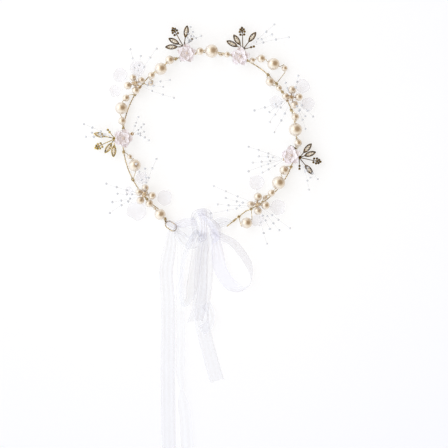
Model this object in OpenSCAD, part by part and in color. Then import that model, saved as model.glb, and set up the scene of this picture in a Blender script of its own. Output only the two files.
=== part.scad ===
// Bridal flower crown, lying flat on a table.
// A twisted base wire carries strung pearls, four leaf-and-flower ornaments, four pearl
// clusters with clear petals, sprays of tiny beads, and two sheer ribbons tied in a bow.
// +Z is up, the table is z = 0, and the origin is the middle of the head opening.

/* [Ring] */
// Radius of the base wire's main arc
ring_r = 78; // [74:0.5:86]
// Radius of the tighter arc of the right arm
arm_r = 69; // [66:0.5:72]
// Radius over the twisted base wire
wire_r = 0.8; // [0.7:0.05:0.9]
// Outer radius of the thin wire's wraps round the base wire
wrap_r = 1.6; // [1.5:0.05:1.8]
// Angle where the left arm ends
left_end = 238; // [236:1:240]
// Angle where the right arm ends
right_end = -70; // [-72:1:-68]

/* [Pearls] */
// Radius of the thin beading wire
thread_r = 0.35; // [0.3:0.05:0.4]
// Running clearance of a pearl on its wire
bore_gap = 0.08; // [0.05:0.01:0.1]
// Clearance between a pearl and the base wire
pearl_gap = 0.4; // [0.3:0.1:0.6]

/* [Ornaments] */
// Length of a jewelled leaf
leaf_len = 10.5; // [9:0.5:11]
// Width of a jewelled leaf
leaf_w = 4; // [3.5:0.1:4.4]
// Thickness of the cast sprig
sprig_h = 1.2; // [1:0.1:1.6]
// Radius of one cast berry
berry_r = 1; // [0.8:0.1:1.1]
// Reach of a flower's petals
petal_reach = 8; // [7:0.1:8.4]

/* [Sprays] */
// Radius of a clear spray thread
spray_r = 0.2; // [0.15:0.05:0.3]
// Radius of a tiny spray bead
spray_bead_r = 0.9; // [0.7:0.1:1]

/* [Ribbon] */
// Width of the sheer ribbon
ribbon_w = 12.7; // [10:0.1:13]
// Thickness of the solids that stand for the ribbon
ribbon_h = 0.4; // [0.3:0.1:0.5]

/* [Hidden] */
$fn = 32;
axis_z = wrap_r;               // height of the base wire's centreline
anchor_z = axis_z + 2.05;      // where the beading wire leaves a wrap
anchor_r = 0.65;               // radius of the solder that holds the beading wire on a wrap
bend_r = thread_r + 0.1;       // radius of the drop of solder at a bend of a thin wire
bend_most = 0.75;              // furthest from a pearl that its wire bends
bend_gap = 0.15;               // how far a thin wire's straight pieces stop short of a bend
joint_r = wire_r + 0.25;       // radius of the solder at a joint of the base wire
joint_gap = 0.4;               // how far the base wire's pieces stop short of a joint
arm_shift = ring_r - arm_r;    // centre of the right arm's arc, on +X
lead_pitch = 1.3;              // millimetres of straight end lead per degree of station
left_heading = 284;            // direction of the left end lead
left_eye_heading = 325;        // direction in which the left eye points
right_heading = 219;           // direction of the right end lead
eye_half = 3.2;                // half the width of an end eye, at its centreline
eye_run = 4.4;                 // straight length of an end eye
left_lead = 7.2;                 // length of the left lead, in degrees of station
right_lead = 11.2;               // length of the right lead, in degrees of station

// Strings of pearls: [first wrap, last wrap, [[station, offset outward, diameter, pearl number], ...]].
// A pearl number of 0 is a small spacer that has no node of its own.
strings = [
    [223.8, 242.4, [[227.2, 1.2, 7, 1], [231.9, 1.6, 3, 0], [236.9, 3, 10, 2]]],
    [188.6, 208, [[192.6, -4.5, 4.5, 0], [199.6, -6.8, 11, 3]]],
    [149.4, 173, [[154, 5.4, 6.5, 0], [161, 5.6, 11, 4], [168.6, 1.8, 7, 5]]],
    [112.8, 140, [[116.8, 0.8, 8, 6], [125, -2, 11, 7], [132.6, -1.2, 6.5, 0], [136.6, -5.4, 5, 0]]],
    [74.8, 99.8, [[78.2, -1, 5.5, 0], [82.3, -2, 3.5, 0], [88.6, 0, 12, 8], [96.2, 0.6, 7, 9]]],
    [39.6, 64.6, [[43.2, 14.4, 5.5, 0], [49.4, 10, 11, 10], [57.2, 7.6, 7.5, 11], [61.4, 2.2, 5, 0]]],
    [32.8, 47.6, [[36, -1, 5.5, 0], [43.2, -3.6, 8, 12]]],
    [-7.4, 19.4, [[-3.2, 1.4, 7, 13], [5.8, -0.8, 12, 14], [14.2, 1.2, 7, 15]]],
    [-55.6, -21.4, [[-52.2, -2.4, 4.5, 0], [-46.4, -1.6, 6.5, 0], [-37, -3, 12, 16], [-26, -4.6, 8.5, 17]]],
    [-76.2, -65.6, [[-72.2, 10.4, 10, 18]]]
];
pearl_total = 18;

// Ornaments: [station, sprig hub's offset outward, direction of the berries, flower's offset
// outward, flower's offset along the wire, direction in which the flower leans, its lean].
ornaments = [
    [180, 7, 206, -0.5, 0, 180, 8],
    [105.6, 7.5, 121, 1, -0.6, 200, 8],
    [69.4, 7.5, 93, 0.5, 0, 160, 8],
    [-13.4, 4.5, -11, -3, 0, 180, 8]
];
hub_z = 3;                     // height of a sprig above the base wire
flower_z = 5.6;                // height of a flower above the base wire
// Jewelled leaves of a sprig: [angle from the berries, distance of the tip from the hub].
leaves = [[60, 16.4], [30, 15.4], [-40, 19], [138, 13.4]];
berry_reach = 15.4;            // distance of the berry bunch's middle from the hub
// Berries of the bunch, from its middle: [along the stalk, across it].
bunch = [[3.9, 0], [2.4, 1.5], [2.4, -1.5], [0.3, 2.2], [0.3, -2.2], [-2.2, 1.7], [-2.2, -1.7], [0.9, 0]];

// Clusters: [station, offset outward, [[direction, distance, diameter] of each pearl],
// [[direction, spread, length, threads] of each spray]]. Directions are in the crown's frame.
clusters = [
    [220.6, -1.6, [[84, 5.6, 6.5], [162, 5.4, 6.5], [-12, 6.8, 7], [236, 6.8, 7]],
        [[187, 44, 35, 4], [88, 34, 33, 3]]],
    [143.4, 4.4, [[112, 5.8, 6], [194, 7.2, 7], [30, 6, 6], [272, 6.2, 7]],
        [[78, 40, 36, 3], [-8, 26, 37, 3]]],
    [26.6, 3.6, [[82, 7, 7.5], [167, 5, 6.5], [4, 7, 7], [-64, 7, 7]],
        [[222, 44, 35, 4], [-54, 24, 31, 3], [92, 40, 20, 2]]],
    [-60.4, -1, [[84, 7, 7.5], [-6, 7.6, 7.5], [-82, 5.8, 7], [178, 5.8, 6.5]],
        [[174, 34, 42, 4], [-56, 40, 36, 4]]]
];
// Clear petals of each cluster: [x, y, radius]. Each lies wholly inside or outside the base wire.
petals = [
    [[-65.7, -64.8, 9], [-40.1, -53.1, 7], [-61, -35, 5.4], [-72.6, -46.2, 3.4]],
    [[-64.8, 63.5, 7], [-80.5, 57.5, 6.6], [-85, 43, 5.4]],
    [[59.5, 33, 6], [83.7, 47.6, 6.6], [88.5, 31, 6.2]],
    [[42.3, -38.9, 7], [61.5, -61.5, 7], [42.9, -73.2, 6]]
];
cluster_z = 5.6;               // height of a cluster's pearls above the base wire
spray_root = 5.2;              // height of a cluster's spray above its pearls' middles
petal_z = 1.4;                 // height of a clear petal above the table
petal_h = 0.4;                 // thickness of a clear petal
petal_foot = 2.2;              // distance from the base wire's middle to the foot of a petal's stem

// Sprays on stems of their own: [station, stem's reach outward, its slant, direction, spread,
// length, threads, height above the base wire].
ring_sprays = [
    [176.4, -8.5, 0, 24, 90, 16, 4, 2.4],
    [-17.6, -8, 0, 186, 50, 34, 5, 2.4]
];
// Sprays that ride on an ornament: [direction, spread, length, threads], from the sprig's hub.
ornament_sprays = [
    [166, 22, 30, 3],
    [50, 40, 18, 4],
    [26, 24, 42, 3],
    [-62, 24, 30, 3]
];

stem_r = 0.4;                  // radius of a spray's twisted stem
stem_out = 0.95;               // how far out and up a stem starts from the base wire
crimp_r = 1.6;                 // radius of the crimp at a spray's root
spray_start = 2.6;             // distance of a thread's inner end from the middle of its crimp
ornament_spray_z = 2;          // height of an ornament's spray above its sprig

petal_slide = 1.6;             // furthest along the wire that a petal's stem starts from its cluster

// Ribbon routes seen from above, as hand-set points.
tail_left = [[-35.2, -87], [-35.4, -96], [-39, -118], [-37.6, -143], [-37.2, -170], [-37.6, -205],
    [-37.4, -245], [-36.6, -292]];
tail_middle = [[-25.6, -104], [-26.4, -145], [-25.8, -181], [-26.4, -208], [-24.6, -230], [-21.4, -253],
    [-19.4, -290]];
tail_right = [[-1.6, -91.5], [-1.8, -136], [-5, -160], [6.4, -218]];
loop_right = [[5.6, -84.6], [12, -88], [21, -93], [30, -104], [35.6, -114], [37.6, -122], [36, -130],
    [30, -134.4], [24, -133.6], [16.6, -128.6], [10, -118], [7.6, -107], [6.4, -97], [5, -89.4]];
band_left = [[-32, -78], [-26, -76], [-18.2, -76]];
band_right = [[14.4, -73.6], [9, -73.4], [4.4, -75]];
knot = [[-13.6, -71, 4.6], [-3, -70, 4.6], [-13.6, -84.6, 4.4], [0.6, -83, 4.4]];
loop_left_top = [-11.6, -90.6];
loop_left_run = 57;
loop_left_turn = 263;
loop_left_h = 4.6;
middle_tail_w = 7;
loop_right_h = 9;

// ---- geometry helpers ----

function unit(v) = v / norm(v);
function turned(a) = [cos(a), sin(a)];

// Point of the base wire's centreline at a station, which is the angle along the ring.
// Past the ends of the arcs a station runs along the straight leads.
function arc_point(s) = s >= 0 ? ring_r * turned(s) : [arm_shift, 0] + arm_r * turned(s);
function wire_point(s) =
    s > left_end ? arc_point(left_end) + (s - left_end) * lead_pitch * turned(left_heading) :
    s < right_end ? arc_point(right_end) + (right_end - s) * lead_pitch * turned(right_heading) :
    arc_point(s);
function wire_heading(s) = s > left_end ? left_heading : s < right_end ? right_heading : s + 90;

// A bead rests on the table, or rides on the base wire where it would cut into it.
function bead_z(offset, d) =
    let (reach = d / 2 + wire_r + pearl_gap)
    max(d / 2, axis_z + sqrt(max(0, reach * reach - offset * offset)));
function bead_at(b) =
    let (p = arc_point(b[0]) + b[1] * turned(b[0]))
    [p.x, p.y, bead_z(b[1], b[2])];
function anchor(s) = let (p = wire_point(s)) [p.x, p.y, anchor_z];

// Stops of a string: its first wrap, its beads' centres and its last wrap.
function stops(s) = [anchor(s[0]), for (b = s[2]) bead_at(b), anchor(s[1])];
function bead_axis(s, i) = let (c = stops(s)) unit(c[i + 2] - c[i]);
// How far from a bead its wire bends, in the gap before bead i.
function bead_r(s, i) = i < 0 || i >= len(s[2]) ? anchor_r : s[2][i][2] / 2;
function bend_reach(s, i) =
    let (c = stops(s))
    min(bend_most, (norm(c[i + 1] - c[i]) - bead_r(s, i - 1) - bead_r(s, i)) / 2 - 0.08);
// Route of a string's wire, straight through each bead.
function route(s) =
    let (c = stops(s), n = len(s[2]))
    [c[0],
        for (i = [0:n - 1]) each let (t = bead_axis(s, i), r = s[2][i][2] / 2)
            [c[i + 1] - (r + bend_reach(s, i)) * t, c[i + 1] + (r + bend_reach(s, i + 1)) * t],
        c[n + 1]];

module rod(a, b, r) {
    v = b - a;
    translate(a)
        rotate([0, acos(v.z / norm(v)), atan2(v.y, v.x)])
            cylinder(h = norm(v), r = r);
}

// Drop of solder at p, turned so that its seam and poles lie clear of two wires that leave
// it along u and v.
module drop(p, r, u, v) {
    across = cross(u, v);
    pole = unit(norm(across) > 0.01 ? across : cross(u, [0, 0, 1]));
    seam = cross(u - v, pole);
    tilt = acos(pole.z);
    turn = atan2(pole.y, pole.x);
    spin = atan2(seam * [-sin(turn), cos(turn), 0],
        seam * [cos(tilt) * cos(turn), cos(tilt) * sin(turn), -sin(tilt)]);
    translate(p) rotate([0, tilt, turn]) rotate([0, 0, spin]) sphere(r = r);
}

// Thin wire through a row of points, with a drop of solder at each bend.
module chain(points, r, bend) {
    for (i = [0:len(points) - 2]) {
        short = bend_gap * unit(points[i + 1] - points[i]);
        rod(points[i] + short, points[i + 1] - short, r);
    }
    for (i = [1:len(points) - 2])
        drop(points[i], bend, unit(points[i - 1] - points[i]), unit(points[i + 1] - points[i]));
}

// Flat band of a given width along a route seen from above.
function side(points, i) =
    let (a = points[max(0, i - 1)], b = points[min(len(points) - 1, i + 1)], t = unit(b - a))
    [-t.y, t.x];
module band(points, width) {
    n = len(points);
    polygon([
        for (i = [0:n - 1]) points[i] + width / 2 * side(points, i),
        for (i = [n - 1:-1:0]) points[i] - width / 2 * side(points, i)
    ]);
}

// Frame of a station: X points outward, Y along the wire, and the wire's axis is at z = 0.
module at_station(s) {
    p = wire_point(s);
    translate([p.x, p.y, axis_z]) rotate([0, 0, wire_heading(s) - 90]) children();
}

// Short tube round the base wire, which thin wire wound round it makes.
module wrap(length) {
    rotate([90, 0, 0]) difference() {
        cylinder(h = length, r = wrap_r, center = true);
        cylinder(h = length + 1, r = wire_r + 0.08, center = true);
    }
}

// ---- wires and pearls ----

// Oval eye that a ribbon is threaded through, with the start of its straight sides at x = 0.
module eye() {
    translate([0, 0, -joint_r]) linear_extrude(height = 2 * joint_r) difference() {
        stadium(eye_run, 2 * (eye_half + joint_r));
        stadium(eye_run, 2 * (eye_half - joint_r));
    }
}

// Straight end lead of the base wire.
module lead(start, end, arc_heading) {
    a = concat(start, axis_z);
    b = concat(end, axis_z);
    drop(a, joint_r, unit(b - a), concat(turned(arc_heading), 0));
    rod(a + joint_gap * unit(b - a), b, wire_r);
}

module base_wire() {
    gap = joint_gap * 180 / (PI * ring_r);
    left = wire_point(left_end + left_lead);
    right = wire_point(right_end - right_lead);
    color("goldenrod") union() {
        translate([0, 0, axis_z]) {
            rotate([0, 0, gap]) rotate_extrude(angle = left_end - 2 * gap, $fn = 180)
                translate([ring_r, 0]) circle(r = wire_r, $fn = 32);
            translate([arm_shift, 0, 0]) rotate([0, 0, right_end + gap])
                rotate_extrude(angle = -right_end - 2 * gap, $fn = 180)
                    translate([arm_r, 0]) circle(r = wire_r, $fn = 32);
            translate([ring_r, 0, 0]) sphere(r = joint_r);
        }
        lead(arc_point(left_end), left, left_end - 90);
        lead(arc_point(right_end), right, right_end + 90);
        translate([left.x, left.y, axis_z]) rotate([0, 0, left_eye_heading]) translate([eye_half, 0, 0]) eye();
        translate([right.x, right.y, axis_z + eye_half])
            rotate([0, 0, right_heading]) rotate([90, 0, 0]) translate([-0.6, 0, 0]) eye();
    }
}

module beading_wire() {
    color("gold") for (s = strings) union() {
        points = route(s);
        last = len(points) - 1;
        for (end = [s[0], s[1]]) at_station(end) wrap(2.4);
        for (e = [[0, 1], [last, last - 1]])
            drop(points[e[0]], anchor_r, unit(points[e[1]] - points[e[0]]), [0, 0, -1]);
        chain(points, thread_r, bend_r);
    }
}

module bead(s, i) {
    d = s[2][i][2];
    t = bead_axis(s, i);
    c = bead_at(s[2][i]);
    translate(c) rotate([0, acos(t.z), atan2(t.y, t.x)]) difference() {
        sphere(d = d);
        cylinder(h = 2 * d, r = thread_r + bore_gap, center = true);
    }
}

module pearl(number) {
    color("linen") for (s = strings) for (i = [0:len(s[2]) - 1]) if (s[2][i][3] == number) bead(s, i);
}

// ---- clusters ----

// Middle of the base wire's arc at a cluster, on X.
function arm_middle(k) = clusters[k][0] < 0 ? arm_shift : 0;
function cluster_at(c) =
    let (p = arc_point(c[0]) + c[1] * turned(c[0]))
    [p.x, p.y, axis_z + cluster_z];
function in_cluster(c, direction, distance, z) =
    cluster_at(c) + [distance * cos(direction), distance * sin(direction), z];

// A cluster's star of thin wire, which its pearls and its spray sit on.
module star(c) {
    hub = cluster_at(c);
    foot = wire_point(c[0]);
    at_station(c[0]) wrap(3);
    rod([foot.x, foot.y, axis_z + 1.3], hub, 0.6);
    translate(hub) sphere(r = 1.3);
    for (p = c[2]) rod(hub, in_cluster(c, p[0], p[1] - p[2] / 2 + 1.6, 0), thread_r);
    rod(hub, hub + [0, 0, spray_root - 0.2], stem_r);
    translate(hub + [0, 0, spray_root]) crimp();
}

// Stem of a spray that stands by itself on the base wire.
module stem(s) {
    at_station(s[0]) {
        wrap(1.6);
        rod([stem_out * sign(s[1]), 0, stem_out], [s[1], s[2], s[7]], stem_r);
        translate([s[1], s[2], s[7]]) crimp();
    }
}

module stem_wires() {
    color("gold") {
        for (c = clusters) union() star(c);
        for (s = ring_sprays) union() stem(s);
    }
}

module cluster_pearls(k) {
    c = clusters[k];
    color("linen") for (p = c[2])
        translate(cluster_at(c)) rotate([0, 90, p[0]]) translate([0, 0, p[1]]) difference() {
            sphere(d = p[2]);
            translate([0, 0, -p[2]]) cylinder(h = p[2] / 2 + 2, r = thread_r + bore_gap);
        }
}

module clear_petals(k) {
    c = clusters[k];
    foot = wire_point(c[0]);
    color("whitesmoke") for (p = petals[k]) union() {
        way = norm([p[0] - arm_middle(k), p[1]]) > norm([foot.x - arm_middle(k), foot.y]) ? 1 : -1;
        along = cross(turned(c[0]), [p[0], p[1]] - foot);
        slide = max(-petal_slide, min(petal_slide, along / 8));
        start = foot + way * petal_foot * turned(c[0]) + slide * turned(c[0] + 90);
        reach = norm([p[0], p[1]] - start);
        edge = start + (1 - (p[2] - 1) / reach) * ([p[0], p[1]] - start);
        translate([p[0], p[1], petal_z]) cylinder(h = petal_h, r = p[2], center = true);
        rod(concat(start, petal_z), concat(edge, petal_z), petal_h / 2 + 0.1);
    }
}

// ---- sprays ----

// One thread of a spray, from near the origin to its tip, with three beads on it.
module thread(tip, first_bead) {
    reach = norm(tip);
    rotate([0, acos(tip.z / reach), atan2(tip.y, tip.x)]) union() {
        translate([0, 0, spray_start]) cylinder(h = reach - spray_start, r = spray_r);
        for (f = [1, first_bead, 0.46]) translate([0, 0, f * reach]) sphere(r = spray_bead_r);
    }
}

// One bead spray from the origin along +X: its threads fan out and rise.
module spray(spread, length, threads, climb) {
    for (i = [0:threads - 1]) {
        turn = spread * (i / (threads - 1) - 0.5);
        reach = length * (1 - 0.16 * ((i * 2) % 3));
        thread([reach * cos(turn), reach * sin(turn), climb + 1.2 * (i % 2)], 0.72 - 0.06 * (i % 2));
    }
}

// Round crimp that the threads of a spray leave from.
module crimp() {
    translate([0, 0, -0.5]) cylinder(h = 1, r = crimp_r);
}

module crown_sprays() {
    color("lavender") {
        for (s = ring_sprays) at_station(s[0])
            translate([s[1], s[2], s[7]]) rotate([0, 0, s[3] - s[0]]) spray(s[4], s[5], s[6], 1);
        for (c = clusters) translate(cluster_at(c)) translate([0, 0, spray_root])
            for (s = c[3]) rotate([0, 0, s[0]]) spray(s[1], s[2], s[3], 0);
    }
}

// ---- ornaments ----

module leaf_outline(length, width) {
    bow = (length * length + width * width) / (4 * width);
    intersection() {
        translate([0, bow - width / 2]) circle(r = bow, $fn = 96);
        translate([0, width / 2 - bow]) circle(r = bow, $fn = 96);
    }
}

// Open tray of a leaf, with its middle at the origin and its tip along +X.
module leaf_tray() {
    difference() {
        linear_extrude(height = sprig_h) leaf_outline(leaf_len, leaf_w);
        translate([0, 0, 0.4]) linear_extrude(height = sprig_h) leaf_outline(leaf_len - 2.2, leaf_w - 1.2);
    }
}

// Frame of a sprig: its hub is the origin, and its berries lie along +X.
module at_sprig(k) {
    o = ornaments[k];
    at_station(o[0]) translate([o[1], 0, hub_z]) rotate([0, 0, o[2] - o[0]]) children();
}

module sprig(k) {
    o = ornaments[k];
    color("gold") union() {
        at_station(o[0]) {
            wrap(3);
            rod([1.25, 0, 0.3], [o[1], 0, hub_z + 0.1], 0.6);
            rod([0.2 * o[3], 0, 1.3], [o[3], o[4], flower_z - 0.15], 0.5);
        }
        at_sprig(k) {
            cylinder(h = sprig_h, r = 1.8);
            translate([0, 0, sprig_h - 0.1]) cylinder(h = ornament_spray_z - sprig_h, r = 0.6);
            translate([0, 0, ornament_spray_z]) crimp();
            for (l = leaves) rotate([0, 0, l[0]]) {
                translate([l[1] - leaf_len / 2, 0, 0]) leaf_tray();
                translate([0, 0, 0.5]) rotate([0, 90, 0]) cylinder(h = l[1] - leaf_len + 0.85, r = 0.45);
            }
            translate([0, 0, 0.5]) rotate([0, 90, 0]) cylinder(h = berry_reach + 4.2, r = 0.4);
            for (b = bunch) {
                translate([berry_reach + b[0], b[1], 0.8]) rotate([0, 0, b[1] == 0 ? 90 : 0])
                    sphere(r = berry_r);
                if (b[1] != 0) rod([berry_reach + b[0] - 0.9, 0, 0.5], [berry_reach + b[0], b[1], 0.8], 0.3);
            }
            rotate([0, 0, -80]) {
                translate([0, 0, 0.5]) rotate([0, 90, 0]) cylinder(h = 10, r = 0.4);
                for (x = [7.4, 10]) translate([x, 0.3, 0.7]) rotate([0, 0, 90]) sphere(r = berry_r);
            }
        }
    }
}

module sprig_stones(k) {
    color("white") at_sprig(k) for (l = leaves) rotate([0, 0, l[0]])
        for (x = [-2, 0, 2]) translate([l[1] - leaf_len / 2 + x, 0, 0.4])
            cylinder(h = 0.9, r1 = 0.8 - 0.1 * abs(x), r2 = 0.45, $fn = 24);
}

// Frame of a flower: its middle is the origin and it faces +Z, leaning a little.
module at_flower(k) {
    o = ornaments[k];
    at_station(o[0]) translate([o[3], o[4], flower_z]) rotate([0, 0, o[5]]) rotate([0, o[6], 0]) children();
}

module flower(k) {
    color("lavender") at_flower(k) union() {
        cylinder(h = 1.2, r = 2);
        for (i = [0:4]) rotate([0, 0, 72 * i]) hull() {
            translate([1.2, 0, 0.6]) sphere(r = 0.6, $fn = 16);
            translate([petal_reach - 3.2, 0, 1.2]) rotate([0, -14, 0]) cylinder(h = 0.8, r = 3.2, $fn = 24);
        }
    }
}

module flower_center(k) {
    color("tan") at_flower(k) translate([0, 0, 1.2]) union() {
        cylinder(h = 0.8, r = 0.7);
        translate([0, 0, 1.9]) sphere(r = 1.4);
    }
}

module ornament_spray(k) {
    o = ornaments[k];
    s = ornament_sprays[k];
    color("lavender") at_station(o[0])
        translate([o[1], 0, hub_z + ornament_spray_z]) rotate([0, 0, s[0] - o[0]]) spray(s[1], s[2], s[3], 3);
}

// ---- ribbon ----

module flat_tail(points, width) {
    color("ghostwhite") linear_extrude(height = ribbon_h) band(points, width);
}

module ribbon_band(points) {
    color("ghostwhite") translate([0, 0, 4]) linear_extrude(height = ribbon_h) band(points, 6);
}

module ribbon_knot() {
    color("ghostwhite") hull() for (p = knot) translate(p) sphere(r = 3, $fn = 24);
}

module stadium(run, height) {
    translate([0, -height / 2]) square([run, height]);
    for (x = [0, run]) translate([x, 0]) circle(d = height);
}

// The left bow loop lies flat: its upper layer turns back under itself.
module ribbon_loop_left() {
    color("ghostwhite") translate([loop_left_top.x, loop_left_top.y, 1 + loop_left_h / 2])
        rotate([0, 0, loop_left_turn]) rotate([90, 0, 0])
            linear_extrude(height = ribbon_w, center = true) difference() {
                stadium(loop_left_run, loop_left_h);
                stadium(loop_left_run, loop_left_h - 2 * ribbon_h);
            }
}

// The right bow loop stands on its edge.
module ribbon_loop_right() {
    color("ghostwhite") translate([0, 0, 0.7]) linear_extrude(height = loop_right_h) band(loop_right, ribbon_h);
}

// ---- nodes ----

base_wire();
beading_wire();
pearl(0);  // spacer_pearls
stem_wires();
crown_sprays();
ribbon_knot();
ribbon_band(band_left);  // ribbon_band_left
ribbon_band(band_right);  // ribbon_band_right
ribbon_loop_left();
ribbon_loop_right();
flat_tail(tail_left, ribbon_w);  // ribbon_tail_left
flat_tail(tail_middle, middle_tail_w);  // ribbon_tail_middle
flat_tail(tail_right, ribbon_w);  // ribbon_tail_right
for (k = [0:3]) {
    cluster_pearls(k);
    clear_petals(k);
    sprig(k);
    sprig_stones(k);
    flower(k);
    flower_center(k);
    ornament_spray(k);
}
for (n = [1:pearl_total]) pearl(n);
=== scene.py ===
"""Looks of the bridal flower crown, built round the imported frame. Metres, +Z up, table at z = 0."""
import math
import random

import bpy
import numpy as np
from mathutils import Matrix, Vector


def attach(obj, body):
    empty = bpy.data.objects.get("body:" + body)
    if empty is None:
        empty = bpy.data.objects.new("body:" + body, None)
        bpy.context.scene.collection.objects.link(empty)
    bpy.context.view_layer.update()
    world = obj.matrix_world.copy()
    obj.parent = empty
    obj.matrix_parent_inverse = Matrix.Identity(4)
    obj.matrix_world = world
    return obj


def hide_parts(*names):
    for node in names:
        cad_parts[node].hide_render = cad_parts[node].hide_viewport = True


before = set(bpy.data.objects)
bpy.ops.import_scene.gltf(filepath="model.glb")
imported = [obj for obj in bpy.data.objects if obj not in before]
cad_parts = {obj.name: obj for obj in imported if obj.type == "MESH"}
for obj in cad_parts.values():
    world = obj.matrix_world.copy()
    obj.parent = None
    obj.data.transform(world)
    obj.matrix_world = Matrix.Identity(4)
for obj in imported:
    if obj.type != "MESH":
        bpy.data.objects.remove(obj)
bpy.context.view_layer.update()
rng = random.Random(7)
MM = 0.001

# ---------------------------------------------------------------- layout, in millimetres
RING_R, ARM_R, AXIS_Z = 78.0, 69.0, 1.6
LEFT_END, RIGHT_END = 238.0, -70.0
LEAD_PITCH, LEFT_HEADING, RIGHT_HEADING, LEFT_EYE_HEADING = 1.3, 284.0, 219.0, 325.0
LEFT_LEAD, RIGHT_LEAD = 7.2, 11.2
EYE_HALF, EYE_RUN, EYE_BACK = 3.2, 4.4, 0.6
ANCHOR_Z, ANCHOR_R = AXIS_Z + 2.05, 0.65
WIRE_R, PEARL_GAP = 0.8, 0.4
# [first wrap, last wrap, [station, offset outward, diameter, pearl number or 0 for a spacer]]
STRINGS = [
    (223.8, 242.4, [(227.2, 1.2, 7, 1), (231.9, 1.6, 3, 0), (236.9, 3, 10, 2)]),
    (188.6, 208, [(192.6, -4.5, 4.5, 0), (199.6, -6.8, 11, 3)]),
    (149.4, 173, [(154, 5.4, 6.5, 0), (161, 5.6, 11, 4), (168.6, 1.8, 7, 5)]),
    (112.8, 140, [(116.8, 0.8, 8, 6), (125, -2, 11, 7), (132.6, -1.2, 6.5, 0), (136.6, -5.4, 5, 0)]),
    (74.8, 99.8, [(78.2, -1, 5.5, 0), (82.3, -2, 3.5, 0), (88.6, 0, 12, 8), (96.2, 0.6, 7, 9)]),
    (39.6, 64.6, [(43.2, 14.4, 5.5, 0), (49.4, 10, 11, 10), (57.2, 7.6, 7.5, 11), (61.4, 2.2, 5, 0)]),
    (32.8, 47.6, [(36, -1, 5.5, 0), (43.2, -3.6, 8, 12)]),
    (-7.4, 19.4, [(-3.2, 1.4, 7, 13), (5.8, -0.8, 12, 14), (14.2, 1.2, 7, 15)]),
    (-55.6, -21.4, [(-52.2, -2.4, 4.5, 0), (-46.4, -1.6, 6.5, 0), (-37, -3, 12, 16), (-26, -4.6, 8.5, 17)]),
    (-76.2, -65.6, [(-72.2, 10.4, 10, 18)]),
]
# [station, hub's offset outward, direction of the berries, flower's offset outward and along,
#  direction of its lean, lean in degrees]
ORNAMENTS = [
    (180, 7, 206, -0.5, 0, 180, 8),
    (105.6, 7.5, 121, 1, -0.6, 200, 8),
    (69.4, 7.5, 93, 0.5, 0, 160, 8),
    (-13.4, 4.5, -11, -3, 0, 180, 8),
]
HUB_Z, FLOWER_Z = 3.0, 5.6
# [direction from the berries, reach of the tip]
LEAVES = [(60, 16.4), (30, 15.4), (-40, 19), (138, 13.4)]
LEAF_LEN, LEAF_W = 10.5, 4.0
BERRY_REACH = 15.4
# [along the stalk from BERRY_REACH, to its side]
BERRIES = [(3.9, 0), (2.4, 1.5), (2.4, -1.5), (0.3, 2.2), (0.3, -2.2), (-2.2, 1.7), (-2.2, -1.7), (0.9, 0)]
SEEDS, SEED_Z = 34, 1.9
# [direction, spread in degrees, length, threads]
ORNAMENT_SPRAYS = [(166, 22, 30, 3), (50, 40, 18, 4), (26, 24, 42, 3), (-62, 24, 30, 3)]
# [station, offset outward, [direction, distance, diameter of each pearl], sprays as above]
CLUSTERS = [
    (220.6, -1.6, [(84, 5.6, 6.5), (162, 5.4, 6.5), (-12, 6.8, 7), (236, 6.8, 7)],
     [(187, 44, 35, 4), (88, 34, 33, 3)]),
    (143.4, 4.4, [(112, 5.8, 6), (194, 7.2, 7), (30, 6, 6), (272, 6.2, 7)],
     [(78, 40, 36, 3), (-8, 26, 37, 3)]),
    (26.6, 3.6, [(82, 7, 7.5), (167, 5, 6.5), (4, 7, 7), (-64, 7, 7)],
     [(222, 44, 35, 4), (-54, 24, 31, 3), (92, 40, 20, 2)]),
    (-60.4, -1, [(84, 7, 7.5), (-6, 7.6, 7.5), (-82, 5.8, 7), (178, 5.8, 6.5)],
     [(174, 34, 42, 4), (-56, 40, 36, 4)]),
]
CLUSTER_Z, SPRAY_ROOT = 5.6, 5.2
# [x, y, radius] of the clear petals at each cluster
PETALS = [
    [(-65.7, -64.8, 9), (-40.1, -53.1, 7), (-61, -35, 5.4), (-72.6, -46.2, 3.4)],
    [(-64.8, 63.5, 7), (-80.5, 57.5, 6.6), (-85, 43, 5.4)],
    [(59.5, 33, 6), (83.7, 47.6, 6.6), (88.5, 31, 6.2)],
    [(42.3, -38.9, 7), (61.5, -61.5, 7), (42.9, -73.2, 6)],
]
# [station, offset outward, offset along, direction, spread, length, threads, height]
RING_SPRAYS = [(176.4, -8.5, 0, 24, 90, 16, 4, 2.4), (-17.6, -8, 0, 186, 50, 34, 5, 2.4)]
RIBBON_W = 12.7
STRIP_COLUMNS = 24             # faces across a ribbon
WEAVE_THREADS = 50             # threads in one ribbon's width
AXIS_R = 0.0001                # radius that stands for a lathe profile's axis
BEND_MOST, BEND_GAP = 0.75, 0.08   # a beading wire's straight run past a pearl, and the gap it leaves
GOLDEN_ANGLE = 2.39996
PETAL_Z = 1.4                  # height of the clear petals
CAMERA_UP, VIEW_WIDE = 1200, 403.2   # height of the camera, and width of the table that it sees
UP = np.array([0, 0, 1.0])


def unit2(a):
    """Unit vector in the table's plane at a degrees."""
    return np.array([math.cos(math.radians(a)), math.sin(math.radians(a))])


def arc_point(s):
    """Point of the ring at a station in degrees; the right-hand part has a smaller radius."""
    return RING_R * unit2(s) if s >= 0 else np.array([RING_R - ARM_R, 0]) + ARM_R * unit2(s)


def wire_point(s):
    """As arc_point, with the straight leads past both ends."""
    if s > LEFT_END:
        return arc_point(LEFT_END) + (s - LEFT_END) * LEAD_PITCH * unit2(LEFT_HEADING)
    if s < RIGHT_END:
        return arc_point(RIGHT_END) + (RIGHT_END - s) * LEAD_PITCH * unit2(RIGHT_HEADING)
    return arc_point(s)


def wire_heading(s):
    return LEFT_HEADING if s > LEFT_END else RIGHT_HEADING if s < RIGHT_END else s + 90


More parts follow.
